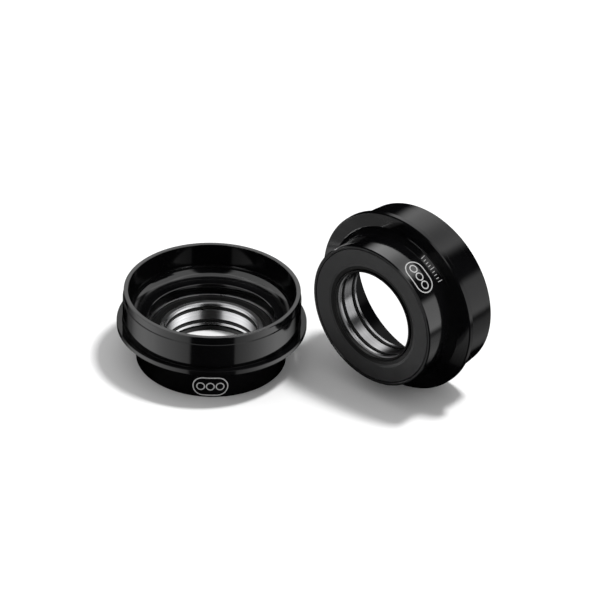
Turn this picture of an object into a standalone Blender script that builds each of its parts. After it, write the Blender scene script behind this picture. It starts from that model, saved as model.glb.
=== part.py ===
"""Press-fit bottom bracket for a bicycle: two identical bearing cups, one standing, one lying.

Each cup carries a cartridge bearing that turns on a 24 mm crank spindle, and its tube is pressed
into a 46 mm frame shell. Lengths below are in millimetres and are scaled to metres when built.
A cup's own axis is its local Z: height 0 is the outboard end face, and +Z points inboard.
"""

import math

import bmesh
import bpy
from mathutils import Matrix, Vector

MM = 0.001
TURNED_SIDES = 36  # flat sides around every turned piece, a multiple of four
RUNNING_GAP = 0.1  # radial room between pieces that turn past each other
FITTED_GAP = 0.05  # room left between pieces that are fitted together

# Cup, outside
TUBE_RADIUS = 23.0  # presses into the 46 mm frame shell
CUP_HEIGHT = 20.3
FLANGE_RADIUS = 24.5
FLANGE_SEAT_HEIGHT = 11.15  # the face that stops against the frame shell
FLANGE_RIM_HEIGHT = 10.0
FLANGE_EDGE_CHAMFER = 0.25
FLANGE_ROOT_HEIGHT = 9.45
STEP_RADIUS = 20.85
STEP_HEIGHT = 9.2
BARREL_RADIUS = 19.4
BARREL_HEIGHT = 7.85
END_CHAMFER = 0.3
SEAT_INNER_RADIUS = 23.1
UNDERCUT_RADIUS = 22.8  # relief at the tube's root, cut into the wall and a little into the flange
UNDERCUT_FLOOR_HEIGHT = 11.0
UNDERCUT_TOP_HEIGHT = 11.55
UNDERCUT_END_HEIGHT = 11.75
LEAD_IN_RADIUS = 22.65
LEAD_IN_HEIGHT = 18.1

# Cup, inside
MOUTH_RADIUS = 21.6
SHOULDER_HEIGHT = 11.45
SHOULDER_HOLE_RADIUS = 16.5
COVE_RADIUS = 2.8
COVE_STEPS = 2

# Cartridge bearing, 24 x 37 x 7 mm
BEARING_BORE_RADIUS = 12.0
BEARING_OUTER_RADIUS = 18.5
BEARING_WIDTH = 7.0
BEARING_START_HEIGHT = 1.5
BALL_COUNT = 15
BALL_RADIUS = 1.75
PITCH_RADIUS = 15.25
OUTER_GROOVE_RADIUS = 1.95
INNER_GROOVE_RADIUS = 1.9
OUTER_LAND_RADIUS = 16.15
INNER_LAND_RADIUS = 14.2
INNER_FACE_RADIUS = 13.4
INNER_RECESS_DEPTH = 1.0
INNER_RECESS_SLOPE = 0.2

# Seals, O-rings, cage and cover
SEAL_THICKNESS = 0.65
SEAL_INSET = 0.15
O_RING_OFFSET = 1.95  # from the bearing's middle to each O-ring
O_RING_SECTION_RADIUS = 0.45
O_RING_SECTION_SIDES = 6
O_RING_GROOVE_HALF_WIDTH = 0.55
O_RING_GROOVE_RADIUS = 12.87
CAGE_INNER_RADIUS = 14.4
CAGE_OUTER_RADIUS = 15.95
CAGE_BASE_DEPTH = 2.35  # below the balls' middle plane
CAGE_HORN_HEIGHT = 0.6  # above the balls' middle plane
POCKET_RADIUS = 1.87
POCKET_HALF_STEPS = 3
POCKET_LIP_SLOPE = 0.1
COVER_FACE_HEIGHT = 0.1
COVER_BACK_HEIGHT = 1.4
COVER_POCKET_HEIGHT = 0.95
COVER_POCKET_RADIUS = 15.65
COVER_HOLE_RADIUS = 12.75
COVER_DISH_RADIUS = 14.2
COVER_DISH_DEPTH = 0.4
LIP_INNER_RADIUS = 12.05
LIP_OUTER_RADIUS = 12.5
LIP_FLANGE_RADIUS = 15.5
LIP_START_HEIGHT = 0.1
LIP_BACK_HEIGHT = 1.25

# Where the two cups are: the left one stands on its small end, the right one lies on its flange
LEFT_CUP_PLACE = (-21.0, -4.6, 0.0)
RIGHT_CUP_PLACE = (21.0, 8.8, FLANGE_RADIUS)
LYING_TURN = math.radians(-90.0)  # about X, which points the cup's inboard end along +Y

BEARING_MIDDLE_HEIGHT = BEARING_START_HEIGHT + BEARING_WIDTH / 2
BEARING_END_HEIGHT = BEARING_START_HEIGHT + BEARING_WIDTH
HALF_WIDTH = BEARING_WIDTH / 2

COLOURS = {
    "black anodised aluminium": ((0.012, 0.012, 0.013), 0.22, 0.85),
    "satin black polymer": ((0.045, 0.046, 0.048), 0.45, 0.0),
    "black rubber": ((0.015, 0.015, 0.015), 0.6, 0.0),
    "ground bearing steel": ((0.62, 0.62, 0.63), 0.22, 1.0),
    "polished ball steel": ((0.72, 0.72, 0.74), 0.08, 1.0),
    "cage polyamide": ((0.42, 0.35, 0.24), 0.5, 0.0),
}


def clear_scene():
    for item in list(bpy.data.objects):
        bpy.data.objects.remove(item, do_unlink=True)


def make_material(name):
    colour, roughness, metallic = COLOURS[name]
    material = bpy.data.materials.new(name)
    material.use_nodes = True
    shader = material.node_tree.nodes["Principled BSDF"]
    shader.inputs["Base Color"].default_value = (*colour, 1.0)
    shader.inputs["Roughness"].default_value = roughness
    shader.inputs["Metallic"].default_value = metallic
    return material


def finished_mesh(name, working, material):
    """Turn a bmesh in millimetres into a shaded mesh in metres with its faces pointing out."""
    bmesh.ops.recalc_face_normals(working, faces=working.faces)
    bmesh.ops.scale(working, vec=(MM, MM, MM), verts=working.verts)
    mesh = bpy.data.meshes.new(name)
    working.to_mesh(mesh)
    working.free()
    mesh.shade_smooth()
    mesh.set_sharp_from_angle(angle=math.radians(30.0))
    mesh.materials.append(material)
    return mesh


def turned_mesh(name, outline, material):
    """Turn a closed outline of (radius, height) points about Z into a solid ring."""
    working = bmesh.new()
    points = [working.verts.new((radius, 0.0, height)) for radius, height in outline]
    edges = [
        working.edges.new((point, points[(index + 1) % len(points)]))
        for index, point in enumerate(points)
    ]
    bmesh.ops.spin(
        working,
        geom=points + edges,
        cent=(0.0, 0.0, 0.0),
        axis=(0.0, 0.0, 1.0),
        angle=math.tau,
        steps=TURNED_SIDES,
        use_merge=True,
    )
    return finished_mesh(name, working, material)


def arc(centre, radius, start_degrees, end_degrees, steps):
    """Points along an arc in the (radius, height) plane, both ends included."""
    angles = [
        math.radians(start_degrees + (end_degrees - start_degrees) * step / steps)
        for step in range(steps + 1)
    ]
    return [
        (centre[0] + radius * math.cos(angle), centre[1] + radius * math.sin(angle))
        for angle in angles
    ]


def cup_shell_outline():
    seat_radius = BEARING_OUTER_RADIUS + FITTED_GAP
    outside = [
        (seat_radius, 0.0),
        (BARREL_RADIUS - END_CHAMFER, 0.0),
        (BARREL_RADIUS, END_CHAMFER),
        (BARREL_RADIUS, BARREL_HEIGHT),
        (STEP_RADIUS, STEP_HEIGHT),
        (STEP_RADIUS, FLANGE_ROOT_HEIGHT),
        (FLANGE_RADIUS - FLANGE_EDGE_CHAMFER, FLANGE_RIM_HEIGHT - FLANGE_EDGE_CHAMFER),
        (FLANGE_RADIUS, FLANGE_RIM_HEIGHT),
        (FLANGE_RADIUS, FLANGE_SEAT_HEIGHT),
        (SEAT_INNER_RADIUS, FLANGE_SEAT_HEIGHT),
        (UNDERCUT_RADIUS, UNDERCUT_FLOOR_HEIGHT),
        (UNDERCUT_RADIUS, UNDERCUT_TOP_HEIGHT),
        (TUBE_RADIUS, UNDERCUT_END_HEIGHT),
        (TUBE_RADIUS, LEAD_IN_HEIGHT),
        (LEAD_IN_RADIUS, LEAD_IN_HEIGHT + 0.1),
        (LEAD_IN_RADIUS, CUP_HEIGHT),
    ]
    cove_centre = (MOUTH_RADIUS - COVE_RADIUS, SHOULDER_HEIGHT + COVE_RADIUS)
    inside = [
        (MOUTH_RADIUS, CUP_HEIGHT),
        *arc(cove_centre, COVE_RADIUS, 0.0, -90.0, COVE_STEPS),
        (SHOULDER_HOLE_RADIUS, SHOULDER_HEIGHT),
        (SHOULDER_HOLE_RADIUS, BEARING_END_HEIGHT + FITTED_GAP),
        (seat_radius, BEARING_END_HEIGHT + FITTED_GAP),
    ]
    return outside + inside


def dust_cover_outline():
    return [
        (COVER_HOLE_RADIUS, COVER_POCKET_HEIGHT),
        (COVER_HOLE_RADIUS, COVER_FACE_HEIGHT + COVER_DISH_DEPTH),
        (COVER_DISH_RADIUS, COVER_FACE_HEIGHT),
        (BEARING_OUTER_RADIUS, COVER_FACE_HEIGHT),
        (BEARING_OUTER_RADIUS, COVER_BACK_HEIGHT),
        (COVER_POCKET_RADIUS, COVER_BACK_HEIGHT),
        (COVER_POCKET_RADIUS, COVER_POCKET_HEIGHT),
    ]


def lip_seal_outline():
    flange_front = COVER_POCKET_HEIGHT + FITTED_GAP
    return [
        (LIP_INNER_RADIUS, LIP_START_HEIGHT),
        (LIP_OUTER_RADIUS, LIP_START_HEIGHT),
        (LIP_OUTER_RADIUS, flange_front),
        (LIP_FLANGE_RADIUS, flange_front),
        (LIP_FLANGE_RADIUS, LIP_BACK_HEIGHT),
        (LIP_INNER_RADIUS, LIP_BACK_HEIGHT),
    ]


def groove_arc(groove_radius, land_radius):
    """A ball groove, from its inboard land edge to its outboard one, as (radius, offset) points."""
    outward = 1.0 if land_radius > PITCH_RADIUS else -1.0
    edge_angle = math.degrees(math.acos(abs(land_radius - PITCH_RADIUS) / groove_radius))
    points = arc((0.0, 0.0), groove_radius, edge_angle, -edge_angle, 4)
    return [(PITCH_RADIUS + outward * along, offset) for along, offset in points]


def raised(points):
    """Move (radius, offset) points from the bearing's middle plane to their height in the cup."""
    return [(radius, BEARING_MIDDLE_HEIGHT + offset) for radius, offset in points]


def outer_ring_outline():
    groove = groove_arc(OUTER_GROOVE_RADIUS, OUTER_LAND_RADIUS)
    return raised(
        [
            (OUTER_LAND_RADIUS, -HALF_WIDTH),
            (BEARING_OUTER_RADIUS, -HALF_WIDTH),
            (BEARING_OUTER_RADIUS, HALF_WIDTH),
            (OUTER_LAND_RADIUS, HALF_WIDTH),
            *groove,
        ]
    )


def inner_ring_outline():
    recess_end = HALF_WIDTH - INNER_RECESS_DEPTH
    groove = groove_arc(INNER_GROOVE_RADIUS, INNER_LAND_RADIUS)
    outside = [
        (INNER_FACE_RADIUS, -HALF_WIDTH),
        (INNER_FACE_RADIUS, -recess_end),
        (INNER_LAND_RADIUS, -recess_end + INNER_RECESS_SLOPE),
        *reversed(groove),
        (INNER_LAND_RADIUS, recess_end - INNER_RECESS_SLOPE),
        (INNER_FACE_RADIUS, recess_end),
        (INNER_FACE_RADIUS, HALF_WIDTH),
    ]
    bore = [(BEARING_BORE_RADIUS, HALF_WIDTH)]
    for middle in (O_RING_OFFSET, -O_RING_OFFSET):
        bore += [
            (BEARING_BORE_RADIUS, middle + O_RING_GROOVE_HALF_WIDTH),
            (O_RING_GROOVE_RADIUS, middle + O_RING_GROOVE_HALF_WIDTH),
            (O_RING_GROOVE_RADIUS, middle - O_RING_GROOVE_HALF_WIDTH),
            (BEARING_BORE_RADIUS, middle - O_RING_GROOVE_HALF_WIDTH),
        ]
    bore.append((BEARING_BORE_RADIUS, -HALF_WIDTH))
    return raised(outside + bore)


def bearing_seal_outline(side):
    """A bearing's own seal; side is -1 at the outboard face and +1 at the inboard one."""
    near = side * (HALF_WIDTH - SEAL_INSET)
    far = side * (HALF_WIDTH - SEAL_INSET - SEAL_THICKNESS)
    inner = INNER_FACE_RADIUS + RUNNING_GAP
    outer = OUTER_LAND_RADIUS - FITTED_GAP
    return raised([(inner, far), (outer, far), (outer, near), (inner, near)])


def o_ring_outline(side):
    centre_radius = O_RING_GROOVE_RADIUS - FITTED_GAP - O_RING_SECTION_RADIUS
    centre = (centre_radius, side * O_RING_OFFSET)
    closed = arc(centre, O_RING_SECTION_RADIUS, 0.0, 360.0, O_RING_SECTION_SIDES)
    return raised(closed[:-1])


def pocket_columns():
    """(angle, height) of the cage's crown across one ball pocket, heights from the ball's middle."""
    half_angle = POCKET_RADIUS / PITCH_RADIUS
    half = []
    for step in range(1, POCKET_HALF_STEPS + 1):
        turn = math.radians(90.0) * step / POCKET_HALF_STEPS
        half.append((half_angle * math.sin(turn), -POCKET_RADIUS * math.cos(turn)))
    half.append((half_angle + POCKET_LIP_SLOPE / PITCH_RADIUS, CAGE_HORN_HEIGHT))
    mirrored = [(-angle, height) for angle, height in reversed(half)]
    return [*mirrored, (0.0, -POCKET_RADIUS), *half]


def ball_cage_mesh(material):
    """A crown cage: one ring below the balls, with horns between the open pockets."""
    working = bmesh.new()
    columns = []
    for ball in range(BALL_COUNT):
        for angle, height in pocket_columns():
            turn = math.tau * ball / BALL_COUNT + angle
            corners = (
                (CAGE_INNER_RADIUS, -CAGE_BASE_DEPTH),
                (CAGE_OUTER_RADIUS, -CAGE_BASE_DEPTH),
                (CAGE_OUTER_RADIUS, height),
                (CAGE_INNER_RADIUS, height),
            )
            columns.append(
                [
                    working.verts.new(
                        (
                            radius * math.cos(turn),
                            radius * math.sin(turn),
                            BEARING_MIDDLE_HEIGHT + offset,
                        )
                    )
                    for radius, offset in corners
                ]
            )
    for index, column in enumerate(columns):
        following = columns[(index + 1) % len(columns)]
        for corner in range(4):
            other = (corner + 1) % 4
            working.faces.new(
                (column[corner], column[other], following[other], following[corner])
            )
    return finished_mesh("ball_cage", working, material)


def ball_mesh(material):
    working = bmesh.new()
    bmesh.ops.create_icosphere(working, subdivisions=2, radius=BALL_RADIUS)
    return finished_mesh("ball", working, material)


def piece_meshes():
    """Every piece of one cup but its balls, as name to mesh."""
    materials = {name: make_material(name) for name in COLOURS}
    black = materials["black anodised aluminium"]
    polymer = materials["satin black polymer"]
    rubber = materials["black rubber"]
    steel = materials["ground bearing steel"]
    meshes = {
        "cup_shell": turned_mesh("cup_shell", cup_shell_outline(), black),
        "dust_cover": turned_mesh("dust_cover", dust_cover_outline(), polymer),
        "lip_seal": turned_mesh("lip_seal", lip_seal_outline(), rubber),
        "outer_ring": turned_mesh("outer_ring", outer_ring_outline(), steel),
        "inner_ring": turned_mesh("inner_ring", inner_ring_outline(), steel),
        "ball_cage": ball_cage_mesh(materials["cage polyamide"]),
    }
    for side, side_name in ((-1, "outboard"), (1, "inboard")):
        seal = side_name + "_seal"
        ring = side_name + "_o_ring"
        meshes[seal] = turned_mesh(seal, bearing_seal_outline(side), rubber)
        meshes[ring] = turned_mesh(ring, o_ring_outline(side), rubber)
    return meshes, ball_mesh(materials["polished ball steel"])


def add_object(name, mesh, parent, place=None):
    item = bpy.data.objects.new(name, mesh)
    bpy.context.scene.collection.objects.link(item)
    item.parent = parent
    if place is not None:
        item.location = place
    return item


def build_cup(side_name, place, turn, meshes, ball):
    """One cup: every piece hangs from an empty on the cup's axis at its outboard face."""
    holder = bpy.data.objects.new(side_name + "_cup_axis", None)
    bpy.context.scene.collection.objects.link(holder)
    holder.matrix_world = Matrix.Translation(Vector(place) * MM) @ Matrix.Rotation(turn, 4, "X")
    for name, mesh in meshes.items():
        add_object(side_name + "_" + name, mesh, holder)
    for index in range(BALL_COUNT):
        angle = math.tau * index / BALL_COUNT
        centre = Vector(
            (
                PITCH_RADIUS * math.cos(angle),
                PITCH_RADIUS * math.sin(angle),
                BEARING_MIDDLE_HEIGHT,
            )
        )
        add_object(f"{side_name}_ball_{index + 1:02d}", ball, holder, centre * MM)


def main():
    clear_scene()
    meshes, ball = piece_meshes()
    build_cup("left", LEFT_CUP_PLACE, 0.0, meshes, ball)
    build_cup("right", RIGHT_CUP_PLACE, LYING_TURN, meshes, ball)


main()
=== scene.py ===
"""Looks of a press-fit bottom bracket: two identical bearing cups, one standing, one lying.

Lengths named *_MM or given in outlines are millimetres in a cup's own frame: height 0 is its
outboard end face, +Z points inboard, and every turned piece is a solid of revolution about Z.
"""

import math

import bmesh
import bpy
from mathutils import Matrix, Vector


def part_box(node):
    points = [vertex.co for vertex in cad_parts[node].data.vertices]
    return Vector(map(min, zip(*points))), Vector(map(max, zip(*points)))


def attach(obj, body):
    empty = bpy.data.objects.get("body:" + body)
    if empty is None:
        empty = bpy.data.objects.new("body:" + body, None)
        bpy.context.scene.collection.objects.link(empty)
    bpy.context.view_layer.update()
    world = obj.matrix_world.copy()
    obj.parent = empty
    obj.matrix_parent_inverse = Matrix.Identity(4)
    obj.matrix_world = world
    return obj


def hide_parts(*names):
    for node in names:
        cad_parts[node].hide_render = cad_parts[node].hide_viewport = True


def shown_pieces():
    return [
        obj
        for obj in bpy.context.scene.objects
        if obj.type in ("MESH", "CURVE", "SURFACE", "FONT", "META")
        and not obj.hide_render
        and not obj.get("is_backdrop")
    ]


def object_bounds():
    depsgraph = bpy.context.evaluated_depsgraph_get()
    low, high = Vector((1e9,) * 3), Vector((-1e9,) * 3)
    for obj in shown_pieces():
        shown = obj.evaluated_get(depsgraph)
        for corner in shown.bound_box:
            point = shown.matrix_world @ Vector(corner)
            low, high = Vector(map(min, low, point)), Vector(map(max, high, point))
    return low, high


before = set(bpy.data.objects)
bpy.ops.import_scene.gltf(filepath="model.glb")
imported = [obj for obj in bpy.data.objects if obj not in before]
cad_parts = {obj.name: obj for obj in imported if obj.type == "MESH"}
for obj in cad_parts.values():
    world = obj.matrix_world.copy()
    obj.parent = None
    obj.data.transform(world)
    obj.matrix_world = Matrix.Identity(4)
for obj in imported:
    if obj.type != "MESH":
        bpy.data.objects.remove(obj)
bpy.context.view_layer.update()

MM = 0.001
AROUND = 216  # steps around a visible turned piece
AROUND_HIDDEN = 120  # steps around a piece that is sealed inside
ARC_STEP = math.radians(15.0)
SOFT_EDGE = 0.06  # the smallest rounding on a machined edge

# Cup shell
TUBE_RADIUS = 23.0
UNDERCUT_RADIUS = 22.8
LEAD_IN_RADIUS = 22.78
LEAD_IN_HEIGHT = 18.1
FLANGE_RADIUS = 24.5
FLANGE_SEAT = 11.15
FLANGE_RIM = 9.95
BARREL_RADIUS = 19.4
BARREL_TOP = 7.85
STEP_RADIUS = 20.85
STEP_TOP = 9.45
SEAT_RADIUS = 18.55
MOUTH_RADIUS = 21.6
SHOULDER = 11.45
SHOULDER_HOLE = 16.5
COVE = 2.8
CUP_TOP = 20.3

# Dust cover and the rubber lip behind its hole
COVER_FACE = 0.1
COVER_BACK = 1.4
COVER_OUTER = 18.47
COVER_HOLE = 12.75
COVER_POCKET_RADIUS = 15.65
COVER_POCKET_HEIGHT = 0.95
COVER_LIP_RADIUS = 13.5  # the cover's face is coated with rubber inside this
LIP_BORE = 12.05
LIP_INNER = 12.5
LIP_OUTER = 15.5
LIP_LOW = 1.0
LIP_HIGH = 1.25

# Bearing
BEARING_LOW = 1.5
BEARING_HIGH = 8.5
BEARING_MIDDLE = (BEARING_LOW + BEARING_HIGH) / 2
BORE_RADIUS = 12.0
INNER_FACE_RADIUS = 13.4
INNER_LAND_RADIUS = 14.2
INNER_GROOVE_RADIUS = 1.9
OUTER_GROOVE_RADIUS = 1.95
SEAL_INNER = 13.5
SEAL_OUTER = 16.1
SEAL_NEAR = 2.75  # from the bearing's middle
SEAL_FAR = 3.3
OUTER_FACE_RADIUS = 16.15
OUTER_RING_RADIUS = 18.5
PITCH_RADIUS = 15.25
BALL_RADIUS = 1.75
BALL_COUNT = 15
O_RING_OFFSET = 1.95
O_RING_SECTION = 0.45
O_RING_CENTRE_RADIUS = 12.37
O_RING_GROOVE_HALF = 0.55
O_RING_GROOVE_RADIUS = 12.87

# Crown cage
CAGE_INNER = 14.4
CAGE_OUTER = 15.95
CAGE_LOW = -2.35
CAGE_HORN = 0.6
POCKET_RADIUS = 1.87
POCKET_LIP_SLOPE = 4.0
STEPS_PER_POCKET = 24
POINTS_ACROSS_CAGE = 7

# Marks, in mm
MARK_HALF_LENGTH = 4.5
MARK_HALF_HEIGHT = 2.6
MARK_RING_RADIUS = 1.0
MARK_RING_SPACING = 2.5
MARK_LINE = 0.3
TICK_LINE = 0.2
TICK_SPACING = 0.9
TICKS = 9
LINE_LIFT = 0.012  # how far a mark stands proud
LINE_SINK = -0.03  # and how deep its underside lies
LEFT_MARK_HEIGHT = 3.3
RIGHT_MARK_HEIGHT = 4.05
RIGHT_MARK_TURN = math.radians(-52.0)  # about the lying cup's own axis

# View of the pair
VIEW_AZIMUTH = math.radians(40.0)
VIEW_ELEVATION = math.radians(32.8)
VIEW_ROLL = math.radians(1.7)
VIEW_DISTANCE = 1.552
VIEW_LENS = 360.0
SENSOR = 36.0
LEFT_BASE_IN_VIEW = Vector((-23.03, -14.42)) * MM  # the left cup's base, right and up of centre


# ---------------------------------------------------------------- turned shapes


def rounded(corners):
    """Round a closed outline of (radius, height, fillet) corners, counter-clockwise.

    Returns (radius, height, normal radius, normal height) for each point.
    """
    points = []
    count = len(corners)
    for index, (x, y, fillet) in enumerate(corners):
        here = Vector((x, y))
        back = (Vector(corners[index - 1][:2]) - here).normalized()
        ahead = (Vector(corners[(index + 1) % count][:2]) - here).normalized()
        opening = back.angle(ahead)
        convex = (-back).cross(ahead) > 0
        reach = fillet / math.tan(opening / 2)
        centre = here + (back + ahead).normalized() * (fillet / math.sin(opening / 2))
        first = here + back * reach - centre
        last = here + ahead * reach - centre
        turn = first.angle_signed(last) * -1
        steps = max(2, math.ceil(abs(turn) / ARC_STEP))
        for step in range(steps + 1):
            angle = turn * step / steps
            spoke = Vector(
                (
                    first.x * math.cos(angle) - first.y * math.sin(angle),
                    first.x * math.sin(angle) + first.y * math.cos(angle),
                )
            )
            normal = spoke.normalized() * (1 if convex else -1)
            place = centre + spoke
            points.append((place.x, place.y, normal.x, normal.y))
    return points


def round_section(radius, height, section, steps):
    """The points of a round section, such as an O-ring's."""
    angles = [math.tau * step / steps for step in range(steps)]
    return [
        (
            radius + section * math.cos(angle),
            height + section * math.sin(angle),
            math.cos(angle),
            math.sin(angle),
        )
        for angle in angles
    ]


def turned_mesh(name, outline, around=AROUND):
    """A solid of revolution with exact normals, in metres."""
    verts = []
    normals = []
    for step in range(around):
        angle = math.tau * step / around
        cos, sin = math.cos(angle), math.sin(angle)
        for radius, height, out, up in outline:
            verts.append((radius * cos * MM, radius * sin * MM, height * MM))
            normals.append((out * cos, out * sin, up))
    count = len(outline)
    faces = []
    for step in range(around):
        here = step * count
        following = (step + 1) % around * count
        for point in range(count):
            beside = (point + 1) % count
            faces.append(
                (here + point, following + point, following + beside, here + beside)
            )
    mesh = bpy.data.meshes.new(name)
    mesh.from_pydata(verts, [], faces)
    mesh.shade_smooth()
    mesh.normals_split_custom_set_from_vertices(normals)
    return mesh


def shell_corners():
    edge = SOFT_EDGE
    return [
        (SEAT_RADIUS + 0.15, 0.0, edge),
        (BARREL_RADIUS - 0.25, 0.0, 0.1),
        (BARREL_RADIUS, 0.25, 0.1),
        (BARREL_RADIUS, BARREL_TOP, 0.25),
        (STEP_RADIUS - 0.1, STEP_TOP - 0.33, 0.5),
        (STEP_RADIUS, STEP_TOP, 0.1),
        (FLANGE_RADIUS - 0.25, FLANGE_RIM - 0.25, 0.08),
        (FLANGE_RADIUS, FLANGE_RIM, 0.08),
        (FLANGE_RADIUS, FLANGE_SEAT, 0.1),
        (TUBE_RADIUS + 0.1, FLANGE_SEAT, edge),
        (UNDERCUT_RADIUS, FLANGE_SEAT - 0.15, edge),
        (UNDERCUT_RADIUS, FLANGE_SEAT + 0.4, edge),
        (TUBE_RADIUS, FLANGE_SEAT + 0.6, edge),
        (TUBE_RADIUS, LEAD_IN_HEIGHT, edge),
        (LEAD_IN_RADIUS, LEAD_IN_HEIGHT + 0.15, edge),
        (LEAD_IN_RADIUS, CUP_TOP - 0.12, 0.08),
        (LEAD_IN_RADIUS - 0.12, CUP_TOP, 0.08),
        (MOUTH_RADIUS + 0.1, CUP_TOP, edge),
        (MOUTH_RADIUS, CUP_TOP - 0.1, edge),
        (MOUTH_RADIUS, SHOULDER, COVE),
        (SHOULDER_HOLE + 0.15, SHOULDER, edge),
        (SHOULDER_HOLE, SHOULDER - 0.15, edge),
        (SHOULDER_HOLE, BEARING_HIGH + 0.05, edge),
        (SEAT_RADIUS, BEARING_HIGH + 0.05, edge),
        (SEAT_RADIUS, 0.15, edge),
    ]


def shell_zone(radius, height):
    """Which copy of the anodised material a place takes: 0 full reflectance, 1 tube, 2 inside the
    mouth; the tube and mouth copies reflect less, as painted shade.
    """
    if radius > UNDERCUT_RADIUS - 0.3 and FLANGE_RIM < height < CUP_TOP - 0.3:
        return 1
    if radius < MOUTH_RADIUS + 0.05 and height > SHOULDER + COVE:
        return 2
    if SHOULDER_HOLE + 0.2 < radius < MOUTH_RADIUS - COVE and height > SHOULDER - 0.1:
        return 2
    return 0


def cover_zone(radius, height):
    """The cover's dished lip is coated with rubber: 0 satin, 1 rubber."""
    return 1 if radius < COVER_LIP_RADIUS and height < 1.0 else 0


def zoned_mesh(name, corners, finishes, zone_at):
    """A turned mesh with several finishes; zone_at gives each place's index in finishes."""
    outline = rounded(corners)
    mesh = turned_mesh(name, outline)
    for finish in finishes:
        mesh.materials.append(finish)
    zones = []
    for (radius, height, *_), (after, above, *_) in zip(outline, outline[1:] + outline[:1]):
        zones.append(zone_at((radius + after) / 2, (height + above) / 2))
    mesh.polygons.foreach_set("material_index", zones * AROUND)
    return mesh


def dust_cover_corners():
    edge = SOFT_EDGE
    return [
        (COVER_HOLE, COVER_POCKET_HEIGHT, edge),
        (COVER_HOLE, COVER_FACE + 0.4, 0.12),
        (COVER_HOLE + 1.0, COVER_FACE + 0.22, 0.4),
        (COVER_HOLE + 1.55, COVER_FACE, 0.4),
        (COVER_OUTER - 0.17, COVER_FACE, edge),
        (COVER_OUTER, COVER_FACE + 0.17, edge),
        (COVER_OUTER, COVER_BACK, edge),
        (COVER_POCKET_RADIUS, COVER_BACK, edge),
        (COVER_POCKET_RADIUS, COVER_POCKET_HEIGHT, edge),
    ]


def lip_seal_corners():
    edge = SOFT_EDGE
    return [
        (LIP_BORE, 0.2, edge),
        (LIP_BORE + 0.15, 0.08, edge),
        (LIP_INNER, 0.2, edge),
        (LIP_INNER, LIP_LOW, edge),
        (LIP_OUTER, LIP_LOW, edge),
        (LIP_OUTER, LIP_HIGH, edge),
        (LIP_BORE + 0.2, LIP_HIGH, edge),
        (LIP_BORE, LIP_HIGH - 0.2, edge),
    ]


def bearing_seal_corners(side):
    """A moulded seal with a raised bead; side is -1 outboard and +1 inboard."""
    profile = [
        (SEAL_INNER, SEAL_NEAR, 0.05),
        (SEAL_OUTER, SEAL_NEAR, 0.05),
        (SEAL_OUTER, SEAL_FAR, 0.1),
        (SEAL_OUTER - 0.35, SEAL_FAR, 0.05),
        (SEAL_OUTER - 0.5, SEAL_FAR - 0.15, 0.05),
        (SEAL_INNER + 0.85, SEAL_FAR - 0.15, 0.05),
        (SEAL_INNER + 0.7, SEAL_FAR, 0.08),
        (SEAL_INNER, SEAL_FAR, 0.12),
    ]
    placed = [
        (radius, BEARING_MIDDLE + side * offset, fillet) for radius, offset, fillet in profile
    ]
    return placed if side > 0 else placed[::-1]


def groove_corners(groove_radius, land_radius, from_high):
    """Ball groove: two land edges and a deep corner rounded to the groove."""
    depth = groove_radius - abs(land_radius - PITCH_RADIUS)
    half = math.sqrt(groove_radius**2 - (groove_radius - depth) ** 2)
    away = 1.0 if land_radius > PITCH_RADIUS else -1.0
    angles = [-1.0, -0.6, -0.2, 0.2, 0.6, 1.0]
    limit = math.asin(half / groove_radius)
    points = [
        (
            PITCH_RADIUS + away * groove_radius * math.cos(limit * share),
            BEARING_MIDDLE + groove_radius * math.sin(limit * share),
            0.02,
        )
        for share in angles
    ]
    return points[::-1] if from_high else points


def outer_ring_corners():
    return [
        (OUTER_FACE_RADIUS, BEARING_LOW, 0.1),
        (OUTER_RING_RADIUS, BEARING_LOW, 0.25),
        (OUTER_RING_RADIUS, BEARING_HIGH, 0.25),
        (OUTER_FACE_RADIUS, BEARING_HIGH, 0.1),
        *groove_corners(OUTER_GROOVE_RADIUS, OUTER_FACE_RADIUS, True),
    ]


def inner_ring_corners():
    land = INNER_LAND_RADIUS
    corners = [
        (INNER_FACE_RADIUS, BEARING_LOW, 0.1),
        (INNER_FACE_RADIUS, BEARING_LOW + 1.0, SOFT_EDGE),
        (land, BEARING_LOW + 1.2, SOFT_EDGE),
        *groove_corners(INNER_GROOVE_RADIUS, land, False),
        (land, BEARING_HIGH - 1.2, SOFT_EDGE),
        (INNER_FACE_RADIUS, BEARING_HIGH - 1.0, SOFT_EDGE),
        (INNER_FACE_RADIUS, BEARING_HIGH, 0.1),
        (BORE_RADIUS + 0.3, BEARING_HIGH, 0.1),
        (BORE_RADIUS, BEARING_HIGH - 0.3, 0.15),
    ]
    for middle in (BEARING_MIDDLE + O_RING_OFFSET, BEARING_MIDDLE - O_RING_OFFSET):
        corners += [
            (BORE_RADIUS, middle + O_RING_GROOVE_HALF, SOFT_EDGE),
            (O_RING_GROOVE_RADIUS, middle + O_RING_GROOVE_HALF, SOFT_EDGE),
            (O_RING_GROOVE_RADIUS, middle - O_RING_GROOVE_HALF, SOFT_EDGE),
            (BORE_RADIUS, middle - O_RING_GROOVE_HALF, SOFT_EDGE),
        ]
    corners += [
        (BORE_RADIUS, BEARING_LOW + 0.3, 0.15),
        (BORE_RADIUS + 0.3, BEARING_LOW, 0.1),
    ]
    return corners


# ---------------------------------------------------------------- cage, balls and marks


def cage_height(radius, angle):
    """Height of the cage's crown above the ball middles, with a round pocket at angle 0."""
    reach = math.hypot(radius - PITCH_RADIUS, radius * angle)
    if reach < POCKET_RADIUS:
        return -math.sqrt(POCKET_RADIUS**2 - reach**2)
    return min(CAGE_HORN, (reach - POCKET_RADIUS) * POCKET_LIP_SLOPE)


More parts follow.
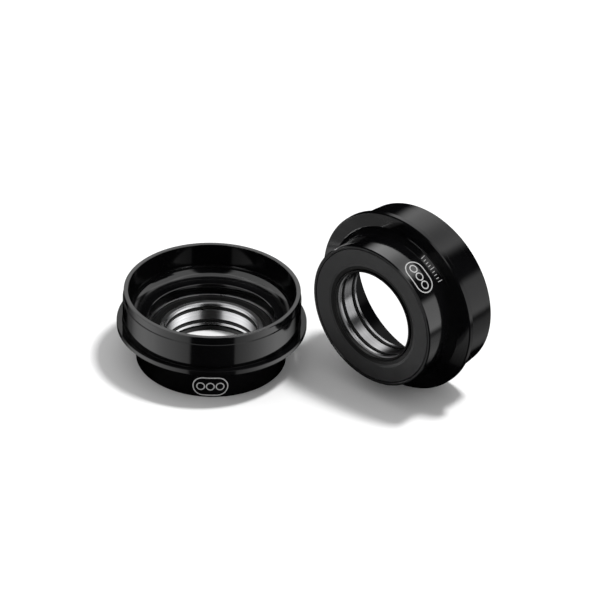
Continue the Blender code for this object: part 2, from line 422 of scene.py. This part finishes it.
def cage_mesh():
    """A crown cage with a round pocket for each ball."""
    across = POINTS_ACROSS_CAGE
    steps = BALL_COUNT * STEPS_PER_POCKET
    pitch = math.tau / BALL_COUNT
    working = bmesh.new()
    columns = []
    for step in range(steps):
        turn = math.tau * step / steps
        from_ball = (turn + pitch / 2) % pitch - pitch / 2
        radii = [CAGE_OUTER + (CAGE_INNER - CAGE_OUTER) * i / (across - 1) for i in range(across)]
        section = [(CAGE_INNER, CAGE_LOW), (CAGE_OUTER, CAGE_LOW)]
        section += [(radius, cage_height(radius, from_ball)) for radius in radii]
        columns.append(
            [
                working.verts.new(
                    (
                        radius * math.cos(turn) * MM,
                        radius * math.sin(turn) * MM,
                        (BEARING_MIDDLE + height) * MM,
                    )
                )
                for radius, height in section
            ]
        )
    for index, column in enumerate(columns):
        following = columns[(index + 1) % len(columns)]
        for point in range(len(column)):
            beside = (point + 1) % len(column)
            working.faces.new(
                (column[point], following[point], following[beside], column[beside])
            )
    bmesh.ops.recalc_face_normals(working, faces=working.faces)
    mesh = bpy.data.meshes.new("ball_cage")
    working.to_mesh(mesh)
    working.free()
    mesh.shade_smooth()
    mesh.set_sharp_from_angle(angle=math.radians(35.0))
    return mesh


def ball_mesh():
    working = bmesh.new()
    bmesh.ops.create_uvsphere(working, u_segments=32, v_segments=16, radius=BALL_RADIUS * MM)
    mesh = bpy.data.meshes.new("ball")
    working.to_mesh(mesh)
    working.free()
    mesh.shade_smooth()
    return mesh


def ribbon(working, path, closed, width, wrap):
    """A thin raised line along a flat path of (along, up) points; wrap places a point and a lift."""
    count = len(path)
    rings = []
    for index, point in enumerate(path):
        before = path[index - 1] if closed or index else path[0]
        after = path[(index + 1) % count] if closed or index + 1 < count else path[-1]
        along = (Vector(after) - Vector(before)).normalized()
        side = Vector((-along.y, along.x)) * width / 2
        left = Vector(point) + side
        right = Vector(point) - side
        rings.append(
            [
                working.verts.new(wrap(left, LINE_SINK)),
                working.verts.new(wrap(left, LINE_LIFT)),
                working.verts.new(wrap(right, LINE_LIFT)),
                working.verts.new(wrap(right, LINE_SINK)),
            ]
        )
    spans = count if closed else count - 1
    for index in range(spans):
        here, there = rings[index], rings[(index + 1) % count]
        for corner in range(4):
            other = (corner + 1) % 4
            working.faces.new((here[corner], here[other], there[other], there[corner]))
    if not closed:
        working.faces.new(rings[0])
        working.faces.new(rings[-1][::-1])


def circle_path(centre, radius, steps=28):
    return [
        (
            centre[0] + radius * math.cos(math.tau * step / steps),
            centre[1] + radius * math.sin(math.tau * step / steps),
        )
        for step in range(steps)
    ]


def stadium_path(half_length, half_height):
    """An outline with two straight sides and two round ends, in short steps throughout."""
    straight = half_length - half_height
    steps = 12
    points = []
    for end, start in ((1, -90.0), (-1, 90.0)):
        for step in range(steps):
            angle = math.radians(start + 180.0 * step / steps)
            points.append(
                (end * straight + half_height * math.cos(angle), half_height * math.sin(angle))
            )
        for step in range(steps):
            share = step / steps
            points.append((end * straight * (1 - 2 * share), end * half_height))
    return points


def mark_mesh(turn, height):
    """A plain bearing emblem on the barrel: three rings of balls in a race, as fine lines."""
    working = bmesh.new()

    def wrap(point, lift):
        angle = turn + point.x / BARREL_RADIUS
        radius = BARREL_RADIUS + lift
        return (
            radius * math.cos(angle) * MM,
            radius * math.sin(angle) * MM,
            (height + point.y) * MM,
        )

    outline = stadium_path(MARK_HALF_LENGTH, MARK_HALF_HEIGHT)
    ribbon(working, outline, True, MARK_LINE, wrap)
    for along in (-MARK_RING_SPACING, 0.0, MARK_RING_SPACING):
        ring = circle_path((along, 0.0), MARK_RING_RADIUS)
        ribbon(working, ring, True, MARK_LINE, wrap)
    bmesh.ops.recalc_face_normals(working, faces=working.faces)
    return finished(working, "etched_mark")


def tick_mesh(turn):
    """A short row of index ticks on the cone beside the barrel."""
    working = bmesh.new()
    low = Vector((BARREL_RADIUS + 0.28, BARREL_TOP + 0.25))
    high = Vector((STEP_RADIUS - 0.32, STEP_TOP - 0.55))
    slope = (high - low).normalized()
    out = Vector((slope.y, -slope.x))

    def wrap(point, lift):
        place = low + slope * point.y + out * lift
        angle = turn + point.x / BARREL_RADIUS
        return (
            place.x * math.cos(angle) * MM,
            place.x * math.sin(angle) * MM,
            place.y * MM,
        )

    span = (high - low).length
    for index in range(TICKS):
        along = (index - TICKS // 2) * TICK_SPACING
        length = span if index % 4 == 0 else span * 0.6
        path = [(along, 0.0), (along, length / 2), (along, length)]
        ribbon(working, path, False, TICK_LINE, wrap)
    bmesh.ops.recalc_face_normals(working, faces=working.faces)
    return finished(working, "index_ticks")


def finished(working, name):
    mesh = bpy.data.meshes.new(name)
    working.to_mesh(mesh)
    working.free()
    return mesh


# ---------------------------------------------------------------- materials


class Nodes:
    """A material's node tree, with short calls for what every finish here needs."""

    def __init__(self, name):
        self.material = bpy.data.materials.new(name)
        self.material.use_nodes = True
        self.tree = self.material.node_tree
        self.shader = self.tree.nodes["Principled BSDF"]

    def add(self, kind, **settings):
        node = self.tree.nodes.new(kind)
        for name, value in settings.items():
            setattr(node, name, value)
        return node

    def link(self, source, target):
        self.tree.links.new(source, target)

    def fixed(self, **values):
        for name, value in values.items():
            self.shader.inputs[name.replace("_", " ")].default_value = value

    def object_place(self):
        return self.add("ShaderNodeTexCoord").outputs["Object"]

    def turning_place(self):
        """(distance from the axis, height, 0): the same all the way round a turned piece."""
        split = self.add("ShaderNodeSeparateXYZ")
        self.link(self.object_place(), split.inputs[0])
        flat = self.add("ShaderNodeCombineXYZ")
        self.link(split.outputs[0], flat.inputs[0])
        self.link(split.outputs[1], flat.inputs[1])
        length = self.add("ShaderNodeVectorMath", operation="LENGTH")
        self.link(flat.outputs[0], length.inputs[0])
        joined = self.add("ShaderNodeCombineXYZ")
        self.link(length.outputs["Value"], joined.inputs[0])
        self.link(split.outputs[2], joined.inputs[1])
        return joined.outputs[0]

    def noise(self, place, scale, detail=3.0):
        node = self.add("ShaderNodeTexNoise")
        node.inputs["Scale"].default_value = scale
        node.inputs["Detail"].default_value = detail
        self.link(place, node.inputs["Vector"])
        return node.outputs["Fac"]

    def spread(self, value, low, high):
        """Map a noise value's usual range to low..high."""
        node = self.add("ShaderNodeMapRange")
        node.inputs["From Min"].default_value = 0.3
        node.inputs["From Max"].default_value = 0.7
        node.inputs["To Min"].default_value = low
        node.inputs["To Max"].default_value = high
        self.link(value, node.inputs["Value"])
        return node.outputs["Result"]

    def colours(self, value, dark, light):
        node = self.add("ShaderNodeValToRGB")
        node.color_ramp.elements[0].position = 0.3
        node.color_ramp.elements[0].color = (*dark, 1.0)
        node.color_ramp.elements[1].position = 0.7
        node.color_ramp.elements[1].color = (*light, 1.0)
        self.link(value, node.inputs["Fac"])
        self.link(node.outputs["Color"], self.shader.inputs["Base Color"])

    def bump(self, value, height_mm, strength, under=None):
        node = self.add("ShaderNodeBump")
        node.inputs["Strength"].default_value = strength
        node.inputs["Distance"].default_value = height_mm * MM
        self.link(value, node.inputs["Height"])
        if under is not None:
            self.link(under, node.inputs["Normal"])
        self.link(node.outputs["Normal"], self.shader.inputs["Normal"])
        return node.outputs["Normal"]


def black_anodised(zone, reflectance):
    """Black anodised metal; reflectance is the shader's specular level."""
    made = Nodes("black_anodised_" + zone)
    turning = made.turning_place()
    cloudy = made.noise(made.object_place(), 90.0)
    lines = made.noise(turning, 5200.0, 2.0)
    made.colours(cloudy, (0.0012, 0.0012, 0.0014), (0.003, 0.003, 0.0033))
    made.link(made.spread(lines, 0.06, 0.11), made.shader.inputs["Roughness"])
    made.bump(lines, 0.004, 0.12)
    made.fixed(IOR=1.5, Metallic=0.0, Specular_IOR_Level=reflectance)
    return made.material


def satin_cover():
    made = Nodes("satin_black_cover")
    grain = made.noise(made.object_place(), 5200.0, 4.0)
    cloudy = made.noise(made.object_place(), 260.0)
    lines = made.noise(made.turning_place(), 2600.0, 2.0)
    made.colours(cloudy, (0.006, 0.006, 0.0065), (0.012, 0.012, 0.0125))
    made.link(made.spread(cloudy, 0.34, 0.44), made.shader.inputs["Roughness"])
    first = made.bump(grain, 0.01, 0.16)
    made.bump(lines, 0.006, 0.1, first)
    return made.material


def black_rubber():
    made = Nodes("black_rubber")
    grain = made.noise(made.object_place(), 4200.0, 4.0)
    cloudy = made.noise(made.object_place(), 400.0)
    made.colours(cloudy, (0.003, 0.003, 0.003), (0.006, 0.006, 0.006))
    made.link(made.spread(cloudy, 0.3, 0.42), made.shader.inputs["Roughness"])
    made.bump(grain, 0.004, 0.05)
    made.fixed(Specular_IOR_Level=0.14)
    return made.material


def bearing_steel():
    made = Nodes("ground_bearing_steel")
    turning = made.turning_place()
    lines = made.noise(turning, 2600.0, 2.0)
    cloudy = made.noise(made.object_place(), 120.0)
    made.colours(lines, (0.26, 0.26, 0.265), (0.34, 0.34, 0.345))
    made.link(made.spread(cloudy, 0.24, 0.32), made.shader.inputs["Roughness"])
    made.bump(lines, 0.002, 0.02)
    made.fixed(Metallic=1.0, Anisotropic=0.6, Anisotropic_Rotation=0.25)
    tangent = made.add("ShaderNodeTangent", direction_type="RADIAL", axis="Z")
    made.link(tangent.outputs[0], made.shader.inputs["Tangent"])
    return made.material


def ball_steel():
    made = Nodes("polished_ball_steel")
    cloudy = made.noise(made.object_place(), 900.0)
    made.colours(cloudy, (0.66, 0.66, 0.68), (0.76, 0.76, 0.78))
    made.link(made.spread(cloudy, 0.05, 0.09), made.shader.inputs["Roughness"])
    made.fixed(Metallic=1.0)
    return made.material


def cage_polymer():
    made = Nodes("cage_polymer")
    grain = made.noise(made.object_place(), 3200.0)
    cloudy = made.noise(made.object_place(), 350.0)
    made.colours(cloudy, (0.36, 0.3, 0.2), (0.45, 0.38, 0.26))
    made.link(made.spread(grain, 0.42, 0.55), made.shader.inputs["Roughness"])
    made.bump(grain, 0.01, 0.2)
    return made.material


def etched_metal():
    made = Nodes("laser_etched_metal")
    speckle = made.noise(made.object_place(), 6500.0)
    made.colours(speckle, (0.3, 0.3, 0.3), (0.52, 0.52, 0.52))
    made.link(made.spread(speckle, 0.5, 0.65), made.shader.inputs["Roughness"])
    made.bump(speckle, 0.01, 0.3)
    return made.material


# Three copies of one anodised material that differ only in reflectance: painted shade that dims the
# tube's highlights and darkens the inside of the mouth.
ANODISED = (
    black_anodised("polished", 0.5),
    black_anodised("tube", 0.2),
    black_anodised("mouth", 0.04),
)
MATERIALS = {
    "black_anodised_aluminium": ANODISED[0],
    "satin_black_cover": satin_cover(),
    "black_rubber": black_rubber(),
    "bearing_steel": bearing_steel(),
    "ball_steel": ball_steel(),
    "cage_polymer": cage_polymer(),
}
ETCHED = etched_metal()


# ---------------------------------------------------------------- the two cups


def cup_meshes():
    """Piece name to (mesh, record slot, which of the cup's bodies it rides on)."""
    shell = zoned_mesh("cup_shell", shell_corners(), ANODISED, shell_zone)
    cover_finishes = (MATERIALS["satin_black_cover"], MATERIALS["black_rubber"])
    cover = zoned_mesh("dust_cover", dust_cover_corners(), cover_finishes, cover_zone)
    lip = turned_mesh("lip_seal", rounded(lip_seal_corners()))
    outer = turned_mesh("outer_ring", rounded(outer_ring_corners()))
    inboard = turned_mesh("inboard_seal", rounded(bearing_seal_corners(1)))
    outboard = turned_mesh("outboard_seal", rounded(bearing_seal_corners(-1)), AROUND_HIDDEN)
    inner = turned_mesh("inner_ring", rounded(inner_ring_corners()))
    meshes = {
        "cup_shell": (shell, "black_anodised_aluminium", "cup"),
        "dust_cover": (cover, "satin_black_cover", "cup"),
        "lip_seal": (lip, "black_rubber", "cup"),
        "outer_ring": (outer, "bearing_steel", "cup"),
        "inboard_seal": (inboard, "black_rubber", "cup"),
        "outboard_seal": (outboard, "black_rubber", "cup"),
        "inner_ring": (inner, "bearing_steel", "inner_ring"),
        "ball_cage": (cage_mesh(), "cage_polymer", "ball_set"),
    }
    for side, name in ((1, "inboard_o_ring"), (-1, "outboard_o_ring")):
        height = BEARING_MIDDLE + side * O_RING_OFFSET
        section = round_section(O_RING_CENTRE_RADIUS, height, O_RING_SECTION, 20)
        meshes[name] = (turned_mesh(name, section), "black_rubber", "inner_ring")
    return meshes


def add_piece(name, mesh, material, place, body, node=None):
    """One visible piece, placed by its cup's matrix, riding on its body."""
    if not mesh.materials:
        mesh.materials.append(material)
    piece = bpy.data.objects.new(name, mesh)
    bpy.context.scene.collection.objects.link(piece)
    piece.matrix_world = place
    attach(piece, body)
    if node is not None:
        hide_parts(node)
    return piece


def cup_places():
    """Each cup's own frame: the left one stands on its outboard end, the right one lies along +Y."""
    low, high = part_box("left_cup_shell")
    standing = Matrix.Translation(((low.x + high.x) / 2, (low.y + high.y) / 2, low.z))
    low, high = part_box("right_cup_shell")
    end = Matrix.Translation(((low.x + high.x) / 2, low.y, (low.z + high.z) / 2))
    lying = end @ Matrix.Rotation(math.radians(-90.0), 4, "X")
    return {"left": standing, "right": lying}


def build_cups():
    meshes = cup_meshes()
    ball = ball_mesh()
    for side, place in cup_places().items():
        for name, (mesh, slot, body) in meshes.items():
            node = f"{side}_{name}"
            add_piece(node + "_fine", mesh, MATERIALS[slot], place, f"{side}_{body}", node)
        for index in range(BALL_COUNT):
            angle = math.tau * index / BALL_COUNT
            centre = Vector(
                (PITCH_RADIUS * math.cos(angle), PITCH_RADIUS * math.sin(angle), BEARING_MIDDLE)
            )
            node = f"{side}_ball_{index + 1:02d}"
            at = place @ Matrix.Translation(centre * MM)
            add_piece(node + "_fine", ball, MATERIALS["ball_steel"], at,
                      side + "_ball_set", node)


def build_marks():
    """The generic mark on each barrel, and a row of index ticks on the lying cup."""
    places = cup_places()
    toward_view = VIEW_AZIMUTH - math.radians(90.0)
    left = mark_mesh(toward_view + math.radians(1.0), LEFT_MARK_HEIGHT)
    add_piece("left_etched_mark", left, ETCHED, places["left"], "left_cup")
    right = mark_mesh(RIGHT_MARK_TURN, RIGHT_MARK_HEIGHT)
    add_piece("right_etched_mark", right, ETCHED, places["right"], "right_cup")
    ticks = tick_mesh(RIGHT_MARK_TURN)
    add_piece("right_index_ticks", ticks, ETCHED, places["right"], "right_cup")
    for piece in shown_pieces():
        if piece.name.endswith(("etched_mark", "index_ticks")):
            piece.visible_glossy = False


# ---------------------------------------------------------------- floor, light and view

FILL = 0.66  # radiance of the soft light from all round
KEY_RADIANCE = 150.0
KEY_AZIMUTH = 95.0
KEY_ELEVATION = 71.0
KEY_DISTANCE = 1.2
KEY_SIZE = 0.16
DOME_RADIUS = 0.7
DOME_STEP = 2  # degrees
FLOOR_REACH = 4.0
SWEEP_ELEVATION = -35.0
SWEEP_HALF_HEIGHT = 22.0
SWEEP_EDGE = 6.0
FLOOR_SHADE_HOLE = 12.9 * MM  # hole in the painted floor shade: the floor under the standing cup's bore stays bright
FLOOR_SHADE_REACH = 36 * MM
DARK_WITHIN = 13 * MM  # reflected floor closer than this is dark, as painted shade
CLEAR_BEYOND = 15 * MM
VEIL_GAP = 1.5  # mm in front of the lying cup's end face
FACE_VEIL_RADIANCE = 0.42
STREAK_VEIL_RADIANCE = 8.0

TOWARD_VIEW = Vector((math.sin(VIEW_AZIMUTH), -math.cos(VIEW_AZIMUTH), 0.0))
VIEW_RIGHT = Vector((math.cos(VIEW_AZIMUTH), math.sin(VIEW_AZIMUTH), 0.0))
UP = Vector((0.0, 0.0, 1.0))


def direction(azimuth, elevation):
    """A direction from the pair: azimuth 0 is towards the camera, and positive is to its right."""
    turn, rise = math.radians(azimuth), math.radians(elevation)
    flat = TOWARD_VIEW * math.cos(turn) + VIEW_RIGHT * math.sin(turn)
    return flat * math.cos(rise) + UP * math.sin(rise)


def facing(place, target):
    """A matrix at place whose -Z looks at target."""
    back = (place - target).normalized()
    side = UP.cross(back).normalized()
    up = back.cross(side)
    turn = Matrix((side, up, back)).transposed()
    return Matrix.Translation(place) @ turn.to_4x4()


def add_key(middle):
    """A square area light facing the pair, which doesn't show in reflections."""
    data = bpy.data.lights.new("key", "AREA")
    data.shape = "RECTANGLE"
    data.size = KEY_SIZE
    data.size_y = KEY_SIZE
    data.energy = KEY_RADIANCE * math.pi * KEY_SIZE * KEY_SIZE
    light = bpy.data.objects.new("key", data)
    bpy.context.scene.collection.objects.link(light)
    place = middle + direction(KEY_AZIMUTH, KEY_ELEVATION) * KEY_DISTANCE
    light.matrix_world = facing(place, middle)
    light.visible_glossy = False


def build_floor():
    mesh = bpy.data.meshes.new("floor")
    reach = FLOOR_REACH
    corners = [(-reach, -reach, 0), (reach, -reach, 0), (reach, reach, 0), (-reach, reach, 0)]
    mesh.from_pydata(corners, [], [(0, 1, 2, 3)])
    made = Nodes("pale_floor")
    cloudy = made.noise(made.object_place(), 3.0)
    made.colours(cloudy, (0.88, 0.88, 0.88), (0.9, 0.9, 0.9))
    made.fixed(Roughness=0.9)
    mesh.materials.append(made.material)
    floor = bpy.data.objects.new("floor", mesh)
    bpy.context.scene.collection.objects.link(floor)
    floor.visible_glossy = False
    floor.visible_shadow = False
    floor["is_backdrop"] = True


def build_world():
    """White behind everything and soft white fill; reflections come from the domes alone."""
    world = bpy.data.worlds.new("studio")
    world.use_nodes = True
    tree = world.node_tree
    tree.nodes.clear()
    out = tree.nodes.new("ShaderNodeOutputWorld")
    path = tree.nodes.new("ShaderNodeLightPath")
    shades = {}
    for name, strength in (("white", 1.0), ("fill", FILL), ("dark", 0.0)):
        shades[name] = tree.nodes.new("ShaderNodeBackground")
        shades[name].inputs["Color"].default_value = (1.0, 1.0, 1.0, 1.0)
        shades[name].inputs["Strength"].default_value = strength
    lit = tree.nodes.new("ShaderNodeMixShader")
    both = tree.nodes.new("ShaderNodeMixShader")
    tree.links.new(path.outputs["Is Glossy Ray"], lit.inputs[0])
    tree.links.new(shades["fill"].outputs[0], lit.inputs[1])
    tree.links.new(shades["dark"].outputs[0], lit.inputs[2])
    tree.links.new(path.outputs["Is Camera Ray"], both.inputs[0])
    tree.links.new(lit.outputs[0], both.inputs[1])
    tree.links.new(shades["white"].outputs[0], both.inputs[2])
    tree.links.new(both.outputs[0], out.inputs[0])
    bpy.context.scene.world = world


# Soft panels around each cup: (azimuth, elevation, half width, half height, edge, radiance),
# in degrees; azimuth 0 is towards the camera and positive is to its right.
PANELS = {
    "left": (
        (-75.0, 33.0, 49.0, 36.0, 10.0, 1.6),
        (77.0, 33.0, 48.0, 36.0, 10.0, 1.6),
        (180.0, 54.0, 62.0, 9.0, 8.0, 1.2),
        (-140.0, 10.0, 16.0, 22.0, 12.0, 0.6),
        (145.0, 10.0, 14.0, 22.0, 12.0, 0.7),
        (180.0, 33.0, 9.0, 5.0, 5.0, 1.5),
        (0.0, 90.0, 180.0, 26.0, 8.0, 1.4),
    ),
    "right": (
        (-88.0, -17.0, 5.0, 6.0, 4.0, 6.0),
        (148.0, 36.0, 36.0, 15.0, 12.0, 2.6),
        (94.0, -1.0, 12.0, 18.0, 8.0, 1.75),
        (112.0, -36.0, 20.0, 12.0, 10.0, 0.5),
        (-13.0, 44.0, 20.0, 13.0, 8.0, 1.05),
        (0.0, 90.0, 180.0, 14.0, 8.0, 0.8),
    ),
}
# The wide sweep below the left cup's horizon: radiance by azimuth
LEFT_SWEEP = (
    (-140.0, 0.0), (-123.0, 0.4), (-108.0, 1.6), (-93.0, 2.7), (-78.0, 3.3), (-47.0, 2.6),
    (-26.5, 1.8), (-25.0, 0.02), (30.0, 0.02), (31.5, 1.3), (46.0, 1.9), (61.0, 2.7),
    (77.0, 3.4), (92.0, 3.2), (108.0, 2.1), (123.0, 0.8), (138.0, 0.0),
)


def ramp(value, table):
    """A value read from a table of (position, value) pairs, straight between them."""
    for (low, first), (high, second) in zip(table, table[1:]):
        if low <= value <= high:
            return first + (second - first) * (value - low) / (high - low)
    return 0.0


def soft_step(distance, edge):
    """1 inside, 0 outside, and smooth over the edge's width about distance 0."""
    share = min(1.0, max(0.0, 0.5 - distance / edge))
    return share * share * (3 - 2 * share)


def dome_radiance(side, azimuth, elevation):
    total = 0.0
    for middle, height, half_width, half_height, edge, radiance in PANELS[side]:
        across = abs((azimuth - middle + 180.0) % 360.0 - 180.0) - half_width
        if half_width >= 180.0:
            across = -edge
        rise = abs(elevation - height) - half_height
        total += radiance * soft_step(across, edge) * soft_step(rise, edge)
    if side == "left":
        rise = abs(elevation - SWEEP_ELEVATION) - SWEEP_HALF_HEIGHT
        total += ramp(azimuth, LEFT_SWEEP) * soft_step(rise, SWEEP_EDGE)
    return total


def glow_material():
    """Gives off each point's own radiance and lets every ray pass on."""
    material = bpy.data.materials.new("soft_panels")
    material.use_nodes = True
    tree = material.node_tree
    tree.nodes.clear()
    out = tree.nodes.new("ShaderNodeOutputMaterial")
    level = tree.nodes.new("ShaderNodeAttribute")
    level.attribute_name = "radiance"
    glow = tree.nodes.new("ShaderNodeEmission")
    clear = tree.nodes.new("ShaderNodeBsdfTransparent")
    both = tree.nodes.new("ShaderNodeAddShader")
    tree.links.new(level.outputs["Fac"], glow.inputs["Strength"])
    tree.links.new(glow.outputs[0], both.inputs[0])
    tree.links.new(clear.outputs[0], both.inputs[1])
    tree.links.new(both.outputs[0], out.inputs["Surface"])
    material.cycles.emission_sampling = "NONE"
    return material


def only_in_reflections(item):
    """Hide a staged piece from everything but reflections."""
    item.visible_camera = False
    item.visible_diffuse = False
    item.visible_transmission = False
    item.visible_volume_scatter = False
    item.visible_shadow = False
    item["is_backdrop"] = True


def add_dome(side, middle, material):
    """A sphere of soft panels that shows only in one cup's reflections."""
    verts = []
    levels = []
    around = 360 // DOME_STEP
    up = 180 // DOME_STEP
    for row in range(up + 1):
        elevation = -90.0 + row * DOME_STEP
        for column in range(around):
            azimuth = -180.0 + column * DOME_STEP
            verts.append(direction(azimuth, elevation) * DOME_RADIUS)
            levels.append(dome_radiance(side, azimuth, elevation))
    faces = []
    for row in range(up):
        for column in range(around):
            beside = (column + 1) % around
            low, high = row * around, (row + 1) * around
            faces.append((low + column, low + beside, high + beside, high + column))
    mesh = bpy.data.meshes.new(side + "_soft_panels")
    mesh.from_pydata(verts, [], faces)
    mesh.attributes.new("radiance", "FLOAT", "POINT").data.foreach_set("value", levels)
    mesh.materials.append(material)
    dome = bpy.data.objects.new(side + "_soft_panels", mesh)
    dome.location = middle
    bpy.context.scene.collection.objects.link(dome)
    group = bpy.data.collections.new(side + "_cup_pieces")
    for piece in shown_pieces():
        if piece.name.startswith(side):
            group.objects.link(piece)
    dome.light_linking.receiver_collection = group
    only_in_reflections(dome)


def build_reflected_floor_shade():
    """Painted shade for reflections: a ring on the floor round the standing cup, dark in reflections
    where it is close to the piece, and clear further off.
    """
    middle = cup_places()["left"].translation
    steps = 64
    verts = []
    for step in range(steps):
        angle = math.tau * step / steps
        spoke = Vector((math.cos(angle), math.sin(angle), 0.0))
        verts += [middle + spoke * FLOOR_SHADE_HOLE, middle + spoke * FLOOR_SHADE_REACH]
    faces = []
    for step in range(steps):
        here, following = 2 * step, 2 * ((step + 1) % steps)
        faces.append((here, here + 1, following + 1, following))
    mesh = bpy.data.meshes.new("near_floor")
    mesh.from_pydata(verts, [], faces)
    material = bpy.data.materials.new("near_floor")
    material.use_nodes = True
    tree = material.node_tree
    tree.nodes.clear()
    out = tree.nodes.new("ShaderNodeOutputMaterial")
    path = tree.nodes.new("ShaderNodeLightPath")
    clearness = tree.nodes.new("ShaderNodeMapRange")
    clearness.inputs["From Min"].default_value = DARK_WITHIN
    clearness.inputs["From Max"].default_value = CLEAR_BEYOND
    dark = tree.nodes.new("ShaderNodeEmission")
    dark.inputs["Strength"].default_value = 0.0
    clear = tree.nodes.new("ShaderNodeBsdfTransparent")
    both = tree.nodes.new("ShaderNodeMixShader")
    tree.links.new(path.outputs["Ray Length"], clearness.inputs["Value"])
    tree.links.new(clearness.outputs["Result"], both.inputs[0])
    tree.links.new(dark.outputs[0], both.inputs[1])
    tree.links.new(clear.outputs[0], both.inputs[2])
    tree.links.new(both.outputs[0], out.inputs["Surface"])
    mesh.materials.append(material)
    floor_shade = bpy.data.objects.new("near_floor", mesh)
    bpy.context.scene.collection.objects.link(floor_shade)
    only_in_reflections(floor_shade)


def add_veil(name, columns, rows, radiance, material):
    """A pale upright panel before the lying cup's end face, seen only in that cup's reflections.

    columns are mm to the right of the cup's axis; rows are (mm above the axis, share of radiance).
    """
    end = cup_places()["right"].translation
    verts = []
    levels = []
    for up, share in rows:
        for along in columns:
            verts.append(end + Vector((along, -VEIL_GAP, up)) * MM)
            levels.append(radiance * share)
    faces = []
    for row in range(len(rows) - 1):
        low = row * 2
        faces.append((low, low + 1, low + 3, low + 2))
    mesh = bpy.data.meshes.new(name)
    mesh.from_pydata(verts, [], faces)
    mesh.attributes.new("radiance", "FLOAT", "POINT").data.foreach_set("value", levels)
    mesh.materials.append(material)
    veil = bpy.data.objects.new(name, mesh)
    bpy.context.scene.collection.objects.link(veil)
    veil.light_linking.receiver_collection = bpy.data.collections["right_cup_pieces"]
    only_in_reflections(veil)


def build_lights():
    low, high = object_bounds()
    add_key((low + high) / 2)
    material = glow_material()
    for side in ("left", "right"):
        low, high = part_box(side + "_cup_shell")
        add_dome(side, (low + high) / 2, material)
    face_rows = ((-20.0, 0.15), (-8.0, 1.0), (19.0, 1.0))
    streak_rows = ((3.0, 1.0), (18.0, 1.0))
    add_veil("face_veil", (-80.0, 19.6), face_rows, FACE_VEIL_RADIANCE, material)
    add_veil("streak_veil", (-60.0, -33.5), streak_rows, STREAK_VEIL_RADIANCE, material)


def build_camera():
    """The camera, placed so that the standing cup's base falls where the view needs it."""
    data = bpy.data.cameras.new("view")
    data.lens = VIEW_LENS
    data.sensor_width = SENSOR
    data.clip_start = 0.05
    data.clip_end = 20.0
    camera = bpy.data.objects.new("view", data)
    bpy.context.scene.collection.objects.link(camera)
    back = direction(0.0, math.degrees(VIEW_ELEVATION))
    up = back.cross(VIEW_RIGHT).normalized()
    right = VIEW_RIGHT * math.cos(VIEW_ROLL) + up * math.sin(VIEW_ROLL)
    up = back.cross(right)
    base = cup_places()["left"].translation
    offset = right * LEFT_BASE_IN_VIEW.x + up * LEFT_BASE_IN_VIEW.y
    place = base - offset + back * VIEW_DISTANCE
    turn = Matrix((right, up, back)).transposed()
    camera.matrix_world = Matrix.Translation(place) @ turn.to_4x4()
    bpy.context.scene.camera = camera


build_cups()
build_marks()
build_floor()
build_reflected_floor_shade()
build_world()
build_lights()
build_camera()
bpy.context.scene.view_settings.view_transform = "Standard"
